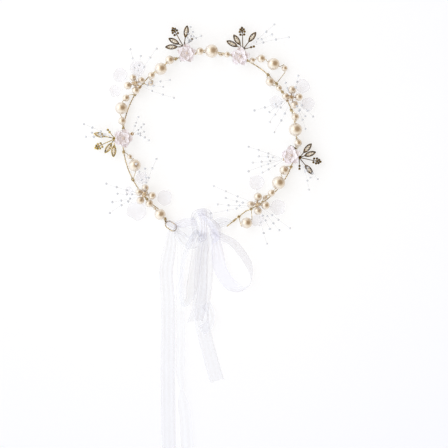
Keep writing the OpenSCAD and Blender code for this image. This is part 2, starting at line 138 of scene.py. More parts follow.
def bead_at(b):
    """Centre of a strung pearl: on the table, or higher where it would cut into the base wire."""
    station, out, diameter, _ = b
    p = arc_point(station) + out * unit2(station)
    reach = diameter / 2 + WIRE_R + PEARL_GAP
    z = max(diameter / 2, AXIS_Z + math.sqrt(max(0, reach * reach - out ** 2)))
    return np.array([p[0], p[1], z])


def unit(v):
    return v / np.linalg.norm(v)


def anchor(s):
    """Where a beading wire leaves its wrap."""
    p = wire_point(s)
    return np.array([p[0], p[1], ANCHOR_Z])


def stops(s):
    """Points that a string passes: its first wrap, its pearls and its last wrap."""
    first, last, pearls = s
    return [anchor(first)] + [bead_at(b) for b in pearls] + [anchor(last)]


def cluster_at(c):
    station, out = c[:2]
    p = arc_point(station) + out * unit2(station)
    return np.array([p[0], p[1], AXIS_Z + CLUSTER_Z])


def turned(degrees, axis="Z"):
    return Matrix.Rotation(math.radians(degrees), 4, axis)


def moved(x, y, z):
    return Matrix.Translation((x, y, z))


def station_frame(s):
    """Place of a station: X outward, Y along the wire, with the wire's axis at z = 0."""
    p = wire_point(s)
    return moved(p[0], p[1], AXIS_Z) @ turned(wire_heading(s) - 90)


# ---------------------------------------------------------------- meshes
def place(points, m):
    a = np.array(m)
    p = np.asarray(points, float)
    return p @ a[:3, :3].T + a[:3, 3]


class Mesh:
    """Collects vertices and faces in millimetres and makes one object of them."""

    def __init__(self):
        self.v, self.f, self.m, self.s, self.uv = [], [], [], [], []
        self.n = 0

    def add(self, v, f, slot=0, smooth=True, m=None, uv=None):
        v = np.asarray(v, float)
        if m is not None:
            v = place(v, m)
        self.v.append(v)
        self.f += [tuple(i + self.n for i in q) for q in f]
        self.m += [slot] * len(f)
        self.s += [smooth] * len(f)
        self.uv += uv if uv else [None] * len(f)
        self.n += len(v)

    def make(self, name, materials, body, slot, replaces):
        me = bpy.data.meshes.new(name)
        me.from_pydata((np.vstack(self.v) * MM).tolist(), [], self.f)
        me.polygons.foreach_set("material_index", self.m)
        me.polygons.foreach_set("use_smooth", self.s)
        if any(u is not None for u in self.uv):
            layer = me.uv_layers.new(name="along")
            k = 0
            for face, u in zip(self.f, self.uv):
                for j in range(len(face)):
                    layer.data[k].uv = u[j] if u else (0, 0)
                    k += 1
        me.validate()
        me.update()
        for mat in materials:
            me.materials.append(mat)
        o = bpy.data.objects.new(name, me)
        bpy.context.scene.collection.objects.link(o)
        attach(o, body)
        if replaces:
            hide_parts(*replaces)
        return o


def lathe(profile, n, close=False):
    """Surface of revolution about Z: profile is [(radius, z), ...]."""
    v = [(r * math.cos(2 * math.pi * i / n), r * math.sin(2 * math.pi * i / n), z)
         for r, z in profile for i in range(n)]
    rows = len(profile)
    f = []
    for j in range(rows if close else rows - 1):
        k = (j + 1) % rows
        for i in range(n):
            h = (i + 1) % n
            f.append((j * n + i, j * n + h, k * n + h, k * n + i))
    return v, f


def aim(centre, direction):
    """Matrix that takes +Z to direction, at centre."""
    turn = Vector(tuple(direction)).to_track_quat("Z", "Y").to_matrix().to_4x4()
    return moved(*centre) @ turn


def transport(points):
    """Unit tangents along points, with two normals that turn as little as they can."""
    p = np.asarray(points, float)
    t = np.roll(p, -1, 0) - np.roll(p, 1, 0)
    t[0], t[-1] = p[1] - p[0], p[-1] - p[-2]
    t /= np.linalg.norm(t, axis=1)[:, None] + 1e-12
    n = np.zeros_like(p)
    ref = np.array((0, 0, 1.0))
    if abs(ref @ t[0]) > 0.95:
        ref = np.array([1.0, 0, 0])
    n[0] = unit(ref - (ref @ t[0]) * t[0])
    for i in range(1, len(p)):
        q = n[i - 1] - (n[i - 1] @ t[i]) * t[i]
        n[i] = q / (np.linalg.norm(q) + 1e-12)
    return t, n, np.cross(t, n)


def tube(points, r, sides):
    """Round tube along points; r is one radius or one for each point."""
    p = np.asarray(points, float)
    _, n, b = transport(p)
    rr = np.broadcast_to(np.asarray(r, float), (len(p),))
    a = 2 * math.pi * np.arange(sides) / sides
    ring = np.cos(a)[None, :, None] * n[:, None, :] + np.sin(a)[None, :, None] * b[:, None, :]
    v = (p[:, None, :] + rr[:, None, None] * ring).reshape(-1, 3)
    f = []
    for j in range(len(p) - 1):
        for i in range(sides):
            h = (i + 1) % sides
            f.append((j * sides + i, j * sides + h, (j + 1) * sides + h, (j + 1) * sides + i))
    f.append(tuple(range(sides - 1, -1, -1)))
    f.append(tuple((len(p) - 1) * sides + i for i in range(sides)))
    return v, f


def smooth_path(points, step):
    """Catmull-Rom curve through points, in steps of about step millimetres."""
    p = np.asarray(points, float)
    p = np.vstack([2 * p[0] - p[1], p, 2 * p[-1] - p[-2]])
    out = []
    for i in range(1, len(p) - 2):
        a, b, c, d = p[i - 1:i + 3]
        n = max(2, int(np.linalg.norm(c - b) / step))
        for k in range(n):
            t = k / n
            out.append(0.5 * (2 * b + (c - a) * t + (2 * a - 5 * b + 4 * c - d) * t ** 2
                              + (3 * b - a - 3 * c + d) * t ** 3))
    out.append(p[-2])
    return np.array(out)


def run_length(p):
    """Distance along a polyline at each of its points."""
    return np.concatenate([[0], np.cumsum(np.linalg.norm(np.diff(p, axis=0), axis=1))])


def resample(points, step):
    p = np.asarray(points, float)
    d = run_length(p)
    s = np.linspace(0, d[-1], max(2, int(round(d[-1] / step)) + 1))
    return np.stack([np.interp(s, d, p[:, k]) for k in range(3)], 1)


def helix(path, radius, pitch, turn0, per_turn):
    """Points that wind round a path at a radius."""
    p = resample(path, pitch / per_turn)
    _, n, b = transport(p)
    a = turn0 + 2 * math.pi * np.arange(len(p)) / per_turn
    return p + radius * (np.cos(a)[:, None] * n + np.sin(a)[:, None] * b)


def ball(r, seg, rings):
    angles = [math.pi * k / rings for k in range(1, rings)]
    v, f = lathe([(r * math.sin(a), -r * math.cos(a)) for a in angles], seg)
    v += [(0, 0, -r), (0, 0, r)]
    k = len(angles) * seg
    f += [(k, (i + 1) % seg, i) for i in range(seg)]
    f += [(k + 1, (rings - 2) * seg + i, (rings - 2) * seg + (i + 1) % seg) for i in range(seg)]
    return v, f


def pearl_mesh(r, seg, bore=0.43, rings=22):
    """Drilled pearl about Z: a rounded rim leads into the bore at each pole."""
    a0 = math.asin(min(0.9, (bore + 0.22) / r))
    angles = [a0 + (math.pi - 2 * a0) * k / rings for k in range(rings + 1)]
    prof = [(r * math.sin(a), -r * math.cos(a)) for a in angles]
    z0 = prof[0][1]
    rim = [(bore + 0.08, z0 + 0.05), (bore, z0 + 0.2)]
    wall = [(bore, -z0 - 0.2), (bore + 0.08, -z0 - 0.05)]
    return lathe(prof + wall[::-1] + rim[::-1], seg, close=True)


def seed_bead(r, length, hole=0.15, seg=16):
    """Round glass bead about Z: a near-spherical outside with a straight hole."""
    prof = [(hole + (r - hole) * math.cos(a), length / 2 * math.sin(a)) for a in np.linspace(-1.5, 1.5, 11)]
    return lathe(prof + [(hole, length * 0.45), (hole, -length * 0.45)], seg, close=True)


def gem(r0, r1, h, sides=8):
    """Cut stone: a girdle, a crown of facets and a flat table."""
    v, f = [], []
    for r, z, turn in ((r0 * 0.8, 0, 0), (r0, h * 0.35, 0), (r0 * 0.86, h * 0.72, 0.5), (r1, h, 0)):
        angles = [2 * math.pi * (i + turn) / sides for i in range(sides)]
        v += [(r * math.cos(a), r * math.sin(a), z) for a in angles]
    for j in range(3):
        for i in range(sides):
            k = (i + 1) % sides
            f.append((j * sides + i, j * sides + k, (j + 1) * sides + k, (j + 1) * sides + i))
    f.append(tuple(range(3 * sides, 4 * sides)))
    f.append(tuple(range(sides - 1, -1, -1)))
    return v, f


def rounded(points, reach, step=0.18):
    """Polyline with its corners eased over reach millimetres."""
    p = [np.asarray(q, float) for q in points]
    out = [p[0]]
    for a, b, c in zip(p, p[1:], p[2:]):
        u, w = a - b, c - b
        k = min(reach, np.linalg.norm(u) * 0.45, np.linalg.norm(w) * 0.45)
        s, e = b + unit(u) * k, b + unit(w) * k
        for t in np.linspace(0, 1, 6):
            out.append((1 - t) ** 2 * s + 2 * t * (1 - t) * b + t ** 2 * e)
    out.append(p[-1])
    return resample(out, step)


# ---------------------------------------------------------------- materials
def math_node(nt, operation, first, second=None):
    """Maths node on two values, each a socket or a number."""
    n = nt.nodes.new("ShaderNodeMath")
    n.operation = operation
    for socket, value in zip(n.inputs, (first, second)):
        if isinstance(value, (int, float)):
            socket.default_value = value
        elif value is not None:
            nt.links.new(value, socket)
    return n


def dot_with(nt, vector, direction):
    """How far a vector socket points along a fixed direction in space."""
    n = nt.nodes.new("ShaderNodeVectorMath")
    n.operation = "DOT_PRODUCT"
    n.inputs[1].default_value = direction
    nt.links.new(vector, n.inputs[0])
    return n.outputs["Value"]


def node_mat(name):
    m = bpy.data.materials.new(name)
    m.use_nodes = True
    nt = m.node_tree
    return m, nt, nt.nodes["Principled BSDF"]


def noise(nt, coord, scale, detail=3.0):
    n = nt.nodes.new("ShaderNodeTexNoise")
    n.inputs["Scale"].default_value = scale
    n.inputs["Detail"].default_value = detail
    nt.links.new(coord, n.inputs["Vector"])
    return n.outputs["Fac"]


def remap(nt, value, low, high, a=0.3, b=0.7):
    """Value from a to b becomes low to high; a and b suit the spread of a noise."""
    r = nt.nodes.new("ShaderNodeMapRange")
    r.inputs["From Min"].default_value = a
    r.inputs["From Max"].default_value = b
    r.inputs["To Min"].default_value = low
    r.inputs["To Max"].default_value = high
    nt.links.new(value, r.inputs["Value"])
    return r.outputs["Result"]


def mix_rgb(nt, fac, c1, c2):
    m = nt.nodes.new("ShaderNodeMix")
    m.data_type = "RGBA"
    nt.links.new(fac, m.inputs["Factor"])
    for key, c in (("A", c1), ("B", c2)):
        if isinstance(c, tuple):
            m.inputs[key].default_value = (*c, 1)
        else:
            nt.links.new(c, m.inputs[key])
    return m.outputs["Result"]


def bump(nt, bsdf, height, strength, distance):
    b = nt.nodes.new("ShaderNodeBump")
    b.inputs["Strength"].default_value = strength
    b.inputs["Distance"].default_value = distance
    nt.links.new(height, b.inputs["Height"])
    nt.links.new(b.outputs["Normal"], bsdf.inputs["Normal"])


def object_coord(nt):
    return nt.nodes.new("ShaderNodeTexCoord").outputs["Object"]


def surface(name, light, dark, rough, scale, metal=0.0, coat=0.0, coat_rough=0.05,
            fine=2500.0, relief=0.00003, specular=0.5, alpha=None):
    """Mottled material: light and dark vary at scale; roughness and relief vary at the fine scale."""
    m, nt, b = node_mat(name)
    co = object_coord(nt)
    n1 = noise(nt, co, scale)
    n2 = noise(nt, co, fine, 2.0)
    nt.links.new(mix_rgb(nt, remap(nt, n1, 0, 1), dark, light), b.inputs["Base Color"])
    nt.links.new(remap(nt, n2, *rough), b.inputs["Roughness"])
    b.inputs["Metallic"].default_value = metal
    b.inputs["Coat Weight"].default_value = coat
    b.inputs["Coat Roughness"].default_value = coat_rough
    b.inputs["Specular IOR Level"].default_value = specular
    b.inputs["IOR"].default_value = 1.5
    bump(nt, b, n2, 0.5, relief)
    if alpha:
        nt.links.new(remap(nt, n1, *alpha), b.inputs["Alpha"])
    return m


def nacre(name, light, dark, crown):
    """Pearl: a mirror-like skin over an ivory body, with a painted reflection that deepens its colour on
    the side that faces up.
    """
    m, nt, b = node_mat(name)
    co = object_coord(nt)
    body = mix_rgb(nt, remap(nt, noise(nt, co, 110.0), 0, 1), dark, light)
    # painted reflection: the body colour turns to crown on the side that faces up, as if mirroring the warm
    # panel overhead
    normal = nt.nodes.new("ShaderNodeNewGeometry").outputs["Normal"]
    painted_reflection_mask = remap(nt, dot_with(nt, normal, (0.36, 0.04, 0.93)), 0, 1, 0.5, 0.96)
    nt.links.new(mix_rgb(nt, painted_reflection_mask, body, crown), b.inputs["Base Color"])
    n2 = noise(nt, co, 420.0, 2.0)
    nt.links.new(remap(nt, n2, 0.3, 0.38), b.inputs["Roughness"])
    b.inputs["Metallic"].default_value = 0.72
    b.inputs["Coat Weight"].default_value = 0.45
    b.inputs["Coat Roughness"].default_value = 0.06
    b.inputs["Specular IOR Level"].default_value = 0.6
    bump(nt, b, n2, 0.5, 0.000002)
    return m


def organza(name, base, alpha):
    """Sheer woven cloth: the weave and its denser selvedges come from the strip's own run."""
    m, nt, b = node_mat(name)
    uvn = nt.nodes.new("ShaderNodeUVMap")
    uvn.uv_map = "along"
    sep = nt.nodes.new("ShaderNodeSeparateXYZ")
    nt.links.new(uvn.outputs["UV"], sep.inputs["Vector"])
    waves = []
    for axis in "XY":
        phase = math_node(nt, "MULTIPLY", sep.outputs[axis], 2 * WEAVE_THREADS * math.pi)
        waves.append(math_node(nt, "SINE", phase.outputs[0]).outputs[0])
    weave = math_node(nt, "MAXIMUM", *waves).outputs[0]
    edge = math_node(nt, "PINGPONG", sep.outputs["X"], 0.5).outputs[0]
    hem = remap(nt, edge, 0.11, 0.0, 0.02, 0.09)
    co = object_coord(nt)
    patch = noise(nt, co, 30.0)
    cover = math_node(nt, "ADD", remap(nt, weave, *alpha, -0.6, 0.9), hem).outputs[0]
    total = math_node(nt, "ADD", cover, remap(nt, patch, -0.03, 0.03))
    total.use_clamp = True
    nt.links.new(total.outputs[0], b.inputs["Alpha"])
    dark = tuple(0.95 * c for c in base)
    nt.links.new(mix_rgb(nt, remap(nt, patch, 0, 1), dark, base), b.inputs["Base Color"])
    nt.links.new(remap(nt, noise(nt, co, 1500.0), 0.4, 0.6), b.inputs["Roughness"])
    b.inputs["Sheen Weight"].default_value = 0.3
    b.inputs["Specular IOR Level"].default_value = 0.3
    bump(nt, b, weave, 0.12, 0.00001)
    return m


GOLD = surface("gold_wire", (1.0, 0.83, 0.52), (0.24, 0.16, 0.06), (0.14, 0.3), metal=1.0, scale=700.0)
# cast gold: its near-black tone is a painted dark reflection and its small gold spots are painted glints
GOLD_PAINTED_DARK_REFLECTION = surface("cast_gold", (0.3, 0.18, 0.05), (0.003, 0.002, 0.001), (0.12, 0.24),
                    metal=1.0, scale=600.0, relief=0.00006)
# the same painted dark reflection, with brighter painted glints
GOLD_PAINTED_BRIGHT_GLINTS = surface("cast_gold_bright", (0.95, 0.72, 0.26), (0.06, 0.04, 0.01), (0.12, 0.26),
                      metal=1.0, scale=600.0, relief=0.00006)
WARM_GOLD = surface("gold_stem_wire", (1.0, 0.86, 0.64), (0.42, 0.26, 0.12), (0.12, 0.26),
                    metal=1.0, scale=500.0)
# the third colour is the painted reflection on each pearl's upward side
PEARL = nacre("pearl_ivory", (0.86, 0.79, 0.71), (0.8, 0.72, 0.63), (0.72, 0.59, 0.43))
CLEAR = surface("clear_petal", (0.92, 0.9, 0.96), (0.84, 0.82, 0.9), (0.12, 0.22), scale=70.0,
                coat=0.3, alpha=(0.12, 0.22), specular=0.4, fine=260.0, relief=0.00001)
STONE = surface("crystal", (1.0, 0.93, 0.8), (0.86, 0.76, 0.58), (0.05, 0.12), scale=900.0,
                coat=0.3, specular=0.6, relief=0.000004)
PETAL = surface("flower_petal", (1.0, 0.96, 0.98), (0.93, 0.87, 0.91), (0.36, 0.5), scale=120.0,
                coat=0.1, coat_rough=0.3, fine=700.0)
SEED = surface("flower_seed", (0.94, 0.84, 0.77), (0.8, 0.66, 0.58), (0.2, 0.32), scale=600.0,
               metal=0.3, coat=0.4, relief=0.00002)
THREAD = surface("nylon_thread", (0.76, 0.76, 0.82), (0.64, 0.65, 0.7), (0.2, 0.35), scale=120.0,
                 alpha=(0.25, 0.6), relief=0.000002)
BEAD = surface("glass_bead", (0.88, 0.89, 0.93), (0.64, 0.66, 0.71), (0.1, 0.2), scale=60.0,
               coat=0.4, alpha=(0.45, 0.85), specular=0.6, relief=0.000004)
ORGANZA = organza("organza", (0.82, 0.825, 0.9), (0.2, 0.25))
ORGANZA_FINE = organza("organza_single", (0.84, 0.85, 0.92), (0.11, 0.15))
ORGANZA_THICK = organza("organza_gathered", (0.82, 0.81, 0.93), (0.24, 0.34))


# ---------------------------------------------------------------- base wire
def lead_and_arc():
    """The wire's axis between its two eyes."""
    s = np.concatenate([np.linspace(LEFT_END + LEFT_LEAD, LEFT_END, 16)[:-1],
                        np.linspace(LEFT_END, 0, 330)[:-1], np.linspace(0, RIGHT_END, 110)[:-1],
                        np.linspace(RIGHT_END, RIGHT_END - RIGHT_LEAD, 20)])
    return [np.array([*wire_point(a), AXIS_Z]) for a in s]


def eye_turn(start, end, count, shift=0.0):
    """Part of a round turn of an eye, with its centre shifted along X."""
    return [(shift + EYE_HALF * math.cos(math.radians(a)), EYE_HALF * math.sin(math.radians(a)))
            for a in np.linspace(start, end, count)]


def left_eye():
    """Eye that lies flat, from its lead end round to it again."""
    outline = eye_turn(180, 90, 8) + eye_turn(90, -90, 18, EYE_RUN) + eye_turn(-90, -175, 8)
    p = wire_point(LEFT_END + LEFT_LEAD)
    x, y = unit2(LEFT_EYE_HEADING), unit2(LEFT_EYE_HEADING + 90)
    return [np.array([*(p + (q[0] + EYE_HALF) * x + q[1] * y), AXIS_Z]) for q in outline]


def right_eye():
    """Eye that stands on edge."""
    p = wire_point(RIGHT_END - RIGHT_LEAD)
    x = unit2(RIGHT_HEADING)
    outline = eye_turn(-90, 90, 18, EYE_RUN - EYE_BACK) + eye_turn(90, 262, 18, -EYE_BACK)
    return [np.array([*(p + q[0] * x), AXIS_Z + EYE_HALF + q[1]]) for q in outline]


wire = Mesh()
middle = lead_and_arc()
path = resample(left_eye()[::-1] + middle + right_eye(), 0.9)
for k in range(2):
    wire.add(*tube(helix(path, 0.27, 3.6, math.pi * k, 12), 0.28, 8))
wire.add(*tube(helix(resample(middle, 0.9), 0.58, 2.6, 0.4, 14), 0.09, 6))
for s in (LEFT_END + LEFT_LEAD - 1, RIGHT_END - RIGHT_LEAD + 1.2):
    c = [np.array([*wire_point(s + t), AXIS_Z]) for t in np.linspace(-1.6, 1.4, 8)]
    wire.add(*tube(helix(c, 0.86, 0.5, 0, 16), 0.2, 6))
wire.make("twisted_base_wire", [GOLD], "crown", "ring_wire", ["base_wire"])


def wrap_coil(mesh, s, length, radius=1.22, r=0.24):
    """Close coil of thin wire round the base wire at a station."""
    c = place([(0, t, 0) for t in np.linspace(-length / 2, length / 2, 6)], station_frame(s))
    mesh.add(*tube(helix(c, radius, 0.52, rng.random() * 6, 16), r, 6))


def twist(mesh, path, radius, pitch, r, m=None):
    """Two strands wound round each other along a path."""
    for turn in (0, math.pi):
        mesh.add(*tube(helix(path, radius, pitch, turn, 12), r, 6), m=m)


# ---------------------------------------------------------------- strung pearls
beading = Mesh()
spacers = Mesh()
for s in STRINGS:
    first, last, pearls = s
    c = stops(s)
    sizes = [ANCHOR_R] + [b[2] / 2 for b in pearls] + [ANCHOR_R]
    route = [c[0]]
    for i, (_, _, diameter, number) in enumerate(pearls):
        t = unit(c[i + 2] - c[i])
        r = diameter / 2
        gaps = [np.linalg.norm(c[i + 1] - c[i]), np.linalg.norm(c[i + 2] - c[i + 1])]
        out = [min(BEND_MOST, (g - o - r) / 2 - BEND_GAP) for g, o in zip(gaps, (sizes[i], sizes[i + 2]))]
        route += [c[i + 1] - (r + out[0]) * t, c[i + 1] + (r + out[1]) * t]
        pearl = pearl_mesh(r, seg=44 if r > 2.6 else 28)
        m = aim(c[i + 1], t)
        if number:
            one = Mesh()
            one.add(*pearl, m=m)
            name = f"pearl_{number}"
            one.make(f"strung_{name}", [PEARL], name, "pearl", [name])
        else:
            spacers.add(*pearl, m=m)
    route.append(c[-1])
    beading.add(*tube(rounded(route, 0.5), 0.3, 8))
    for e in (first, last):
        wrap_coil(beading, e, 2.4)
        a = anchor(e)
        down = np.array([a[0], a[1], AXIS_Z + 1.0])
        beading.add(*tube(helix([down, a], 0.28, 0.5, 0, 12), 0.22, 6))
beading.make("beading_wire_coils", [GOLD], "crown", "thin_wire", ["beading_wire"])
spacers.make("small_pearls", [PEARL], "crown", "pearl", ["spacer_pearls"])


# ---------------------------------------------------------------- sprays
def spray(mesh, base, spread, length, threads, climb):
    """Threads fan out from base along its +X; slot 0 is the thread and slot 1 its glass beads."""
    for i in range(threads):
        turn = math.radians(spread * (i / (threads - 1) - 0.5))
        reach = length * (1 - 0.16 * ((2 * i) % 3))
        tip = np.array([reach * math.cos(turn), reach * math.sin(turn), climb + 1.2 * (i % 2)])
        side = unit(np.array([-tip[1], tip[0], 0]))
        sway = rng.uniform(-1.3, 1.3)
        t = np.linspace(0.7 / reach, 1.0, 26)
        bow = np.sin(np.pi * t)
        pts = t[:, None] * tip + (sway * bow)[:, None] * side + (0.5 * bow)[:, None] * UP
        pts = place(pts, base)
        mesh.add(*tube(pts, 0.12, 6), slot=0)
        for frac in (1.0, 0.72 - 0.06 * (i % 2), 0.46):
            k = min(range(26), key=lambda q: abs(t[q] - frac))
            a, b = pts[max(k - 1, 0)], pts[min(k + 1, 25)]
            size = 1.2 * rng.uniform(0.8, 1.06)
            v, f = seed_bead(size, size * 1.7)
            mesh.add(v, f, slot=1, m=aim(pts[k], b - a))
        tip_v, tip_f = ball(0.2, 8, 6)
        mesh.add(tip_v + pts[-1] + 0.9 * unit(pts[-1] - pts[-2]), tip_f, slot=0)


def crimp(mesh, base):
    """Grooved metal bead that holds the roots of a spray."""
    prof = [(0.9, -0.5), (1.45, -0.42), (1.55, -0.15), (1.4, 0), (1.55, 0.15), (1.45, 0.42), (0.9, 0.5),
            (0.45, 0.3), (0.45, -0.3)]
    mesh.add(*lathe(prof, 24, close=True), m=base)


def wire_tangle(mesh, hub):
    """Loose loops of thin wire in the middle of a bunch."""
    for n in range(10):
        lie = math.radians(36 * n + rng.uniform(-14, 14))
        tip = math.radians(rng.uniform(20, 62))
        u = np.array([math.cos(lie), math.sin(lie), 0])
        w = math.cos(tip) * np.array([-math.sin(lie), math.cos(lie), 0]) + math.sin(tip) * UP
        reach = rng.uniform(2.6, 4.3)
        loop = []
        for a in np.linspace(0.1, 3.04, 26):
            way = u * math.cos(a - 0.8) + 0.62 * w * math.sin(a - 0.8)
            loop.append(hub + 0.9 * UP + reach * math.sin(a) * way)
        mesh.add(*tube(loop, 0.24, 6))


crown_spray = Mesh()
stems = Mesh()
for station, out, along, heading, spread, length, threads, height in RING_SPRAYS:
    f = station_frame(station)
    at = f @ moved(out, along, height)
    spray(crown_spray, at @ turned(heading - station), spread, length, threads, 1)
    crimp(stems, at)
    wrap_coil(stems, station, 1.6)
    stem = [(0.95 * np.sign(out), 0, 0.95), (out * 0.5, 0.3, 2.0), (out, along, height)]
    twist(stems, place(smooth_path(stem, 0.4), f), 0.2, 1.6, 0.2)
for c in CLUSTERS:
    station, _, pearls, sprays = c
    hub = cluster_at(c)
    root = moved(*(hub + SPRAY_ROOT * UP))
    for heading, spread, length, threads in sprays:
        spray(crown_spray, root @ turned(heading), spread, length, threads, 0)
    crimp(stems, root)
    wrap_coil(stems, station, 3)
    foot = np.array([*wire_point(station), AXIS_Z + 1.2])
    top = hub + (SPRAY_ROOT - 0.2) * UP
    for a, b in ((foot, hub), (hub, top)):
        twist(stems, [a, b], 0.3, 1.8, 0.27)
    knot_v, knot_f = ball(1.0, 16, 10)
    stems.add(knot_v + hub, knot_f)
    wire_tangle(stems, hub)
    for direction, distance, diameter in pearls:
        u = np.array([*unit2(direction), 0])
        near = distance - diameter / 2
        stems.add(*tube([hub, hub + u * (near + 1.4)], 0.3, 8))
        collar = hub + u * (near - 0.35)
        stems.add(*tube(helix([collar - 0.5 * u, collar + 0.2 * u], 0.42, 0.4, 0, 12), 0.16, 6))
crown_spray.make("ring_sprays", [THREAD, BEAD], "crown", "spray", ["crown_sprays"])
stems.make("cluster_wires", [WARM_GOLD], "crown", "thin_wire", ["stem_wires"])

# ---------------------------------------------------------------- clusters
def clear_petal(mesh, centre, r, hub, foot, rings=10, seg=48):
    """Thin cupped disc with a lobed edge, a rim, and a stem from the base wire's foot point."""
    away = unit(centre - hub)
    out, across = np.array([*away, 0]), np.array([-away[1], away[0], 0])
    phase = rng.uniform(0, 6)

    def point(q, n, rise=0.0):
        a = 2 * math.pi * n / seg
        lobe = r * (0.97 + 0.03 * math.cos(5 * a + phase)) * (1 - 0.16 * max(0, math.cos(a)) ** 12)
        at = q * lobe * (math.cos(a) * out + math.sin(a) * across)
        z = PETAL_Z + q ** 2 * (1.1 + 0.35 * math.sin(3 * a + phase))
        return (centre[0] + at[0], centre[1] + at[1], z + rise)

    v, f = [], []
    for layer in (0.0, 0.32):
        for i in range(rings + 1):
            q = 0.02 + 0.98 * i / rings
            v += [point(q, n, layer * (1 - 0.5 * q) - 0.2) for n in range(seg)]
    half = (rings + 1) * seg
    for n in range(seg):
        h = (n + 1) % seg
        for i in range(rings):
            low, high = i * seg, (i + 1) * seg
            f.append((low + h, low + n, high + n, high + h))
            f.append((half + low + n, half + low + h, half + high + h, half + high + n))
        f.append((rings * seg + n, half + rings * seg + n, half + rings * seg + h, rings * seg + h))
        f.append((half + n, n, h, half + h))
    mesh.add(v, f)
    mesh.add(*tube([point(1, n) for n in range(seg + 1)], 0.12, 6))
    start = np.array([*(foot + 2.0 * unit(centre - foot)), PETAL_Z])
    end = np.array([*(centre - (r - 1.2) * unit(centre - foot)), PETAL_Z + 0.3])
    mesh.add(*tube([start, (start + end) / 2 + 0.2 * UP, end], [0.3, 0.3, 0.22], 8))


for k, c in enumerate(CLUSTERS):
    hub = cluster_at(c)
    bunch = Mesh()
    for direction, distance, diameter in c[2]:
        u = np.array([*unit2(direction), 0])
        bunch.add(*pearl_mesh(diameter / 2, seg=40), m=aim(hub + distance * u, u))
    bunch.make(f"pearl_bunch_{k + 1}", [PEARL], "crown", "pearl", [f"cluster_pearls_{k + 1}"])

    clear = Mesh()
    for x, y, r in PETALS[k]:
        clear_petal(clear, np.array([x, y]), r, hub[:2], wire_point(c[0]))
    clear.make(f"clear_petals_cupped_{k + 1}", [CLEAR], "crown", "clear_petal", [f"clear_petals_{k + 1}"])


# ---------------------------------------------------------------- ornaments
def shell(surface_at, nq, nw, thick):
    """Thin closed petal: surface_at(q, w) is a point, q 0 to 1 along and w -1 to 1 across."""
    top = np.array([[surface_at(i / nq, 2 * j / nw - 1) for j in range(nw + 1)]
                    for i in range(nq + 1)])
    du, dw = np.gradient(top, axis=0), np.gradient(top, axis=1)
    n = np.cross(du, dw)
    n /= np.linalg.norm(n, axis=2)[:, :, None] + 1e-9
    low = top - thick * n
    c, half = nw + 1, (nq + 1) * (nw + 1)
    v = np.vstack([top.reshape(-1, 3), low.reshape(-1, 3)])
    f = []
    for i in range(nq):
        for j in range(nw):
            a, b, d, e = i * c + j, i * c + j + 1, (i + 1) * c + j + 1, (i + 1) * c + j
            f += [(a, e, d, b), (half + a, half + b, half + d, half + e)]
    border = ([(0, j) for j in range(nw)] + [(i, nw) for i in range(nq)]
              + [(nq, j) for j in range(nw, 0, -1)] + [(i, 0) for i in range(nq, 0, -1)])
    for (i, j), (k, m) in zip(border, border[1:] + border[:1]):
        a, b = i * c + j, k * c + m
        f.append((a, b, half + b, half + a))
    return v, f


def petal_shape(length, width, cup, lift, phase):
    """Petal from its foot outward: cup bends its sides up, lift its tip, and phase ruffles its edge."""
    def at(q, w):
        half = width / 2 * math.sin(math.pi * (0.1 + 0.83 * q)) ** 0.75
        x = 0.5 + (length - 0.5) * (q - 0.06 * w * w * q + 0.035 * q * math.cos(6 * w + phase))
        z = lift * q ** 1.5 + cup * (w * w) * (0.35 + q) + 0.22 * q * math.sin(5 * w + phase) - 0.7 * q ** 4
        return (x, half * w, z)
    return at


def half_width(x):
    """Half the width of a leaf, x from its middle."""
    bow = (LEAF_LEN ** 2 + LEAF_W ** 2) / (4 * LEAF_W)
    return max(0.0, math.sqrt(max(0, bow * bow - x * x)) - (bow - LEAF_W / 2))


def leaf(metal, stones, m):
    """Openwork leaf: a rim, a spine, side veins and three stones in collets."""
    xs = np.linspace(-LEAF_LEN / 2, LEAF_LEN / 2, 25)
    ring = [(x, half_width(x) * 0.93, 0.75) for x in xs]
    ring += [(x, -y, z) for x, y, z in ring[::-1][1:-1]]
    metal.add(*tube(ring + ring[:2], 0.5, 8), m=m)
    metal.add(*tube([(x, 0, 0.35) for x in xs], 0.24, 6), m=m)
    for x in (-3.6, -1.2, 0.8, 2.8):
        for side in (-1, 1):
            end = x + 1.1
            metal.add(*tube([(x, 0, 0.35), (end, side * half_width(end) * 0.9, 0.6)], 0.17, 6), m=m)
    for x in (-2.1, 0.0, 2.1):
        r = 0.84 - 0.09 * abs(x)
        v, f = gem(r * 1.3, 0.66, 0.95)
        stones.add(v, f, smooth=False, m=m @ moved(x, 0, 0.4) @ Matrix.Scale(1.18, 4, (1, 0, 0)))
        edge = r * 1.3 + 0.1
        collet = [(edge * 1.12 * math.cos(a), edge * math.sin(a), 0.62)
                  for a in np.linspace(0, 2 * math.pi, 20)]
        metal.add(*tube(collet, 0.13, 6), m=m @ moved(x, 0, 0))


def berry(metal, at, m):
    """Cast ball with a slightly uneven skin."""
    r = 1.1
    v, f = ball(r, 18, 12)
    v = np.array(v)
    a = np.arctan2(v[:, 1], v[:, 0])
    v *= (1 + 0.035 * np.sin(6 * a) * np.sin(5 * v[:, 2] / r))[:, None]
    metal.add(v + np.array(at), f, m=m)


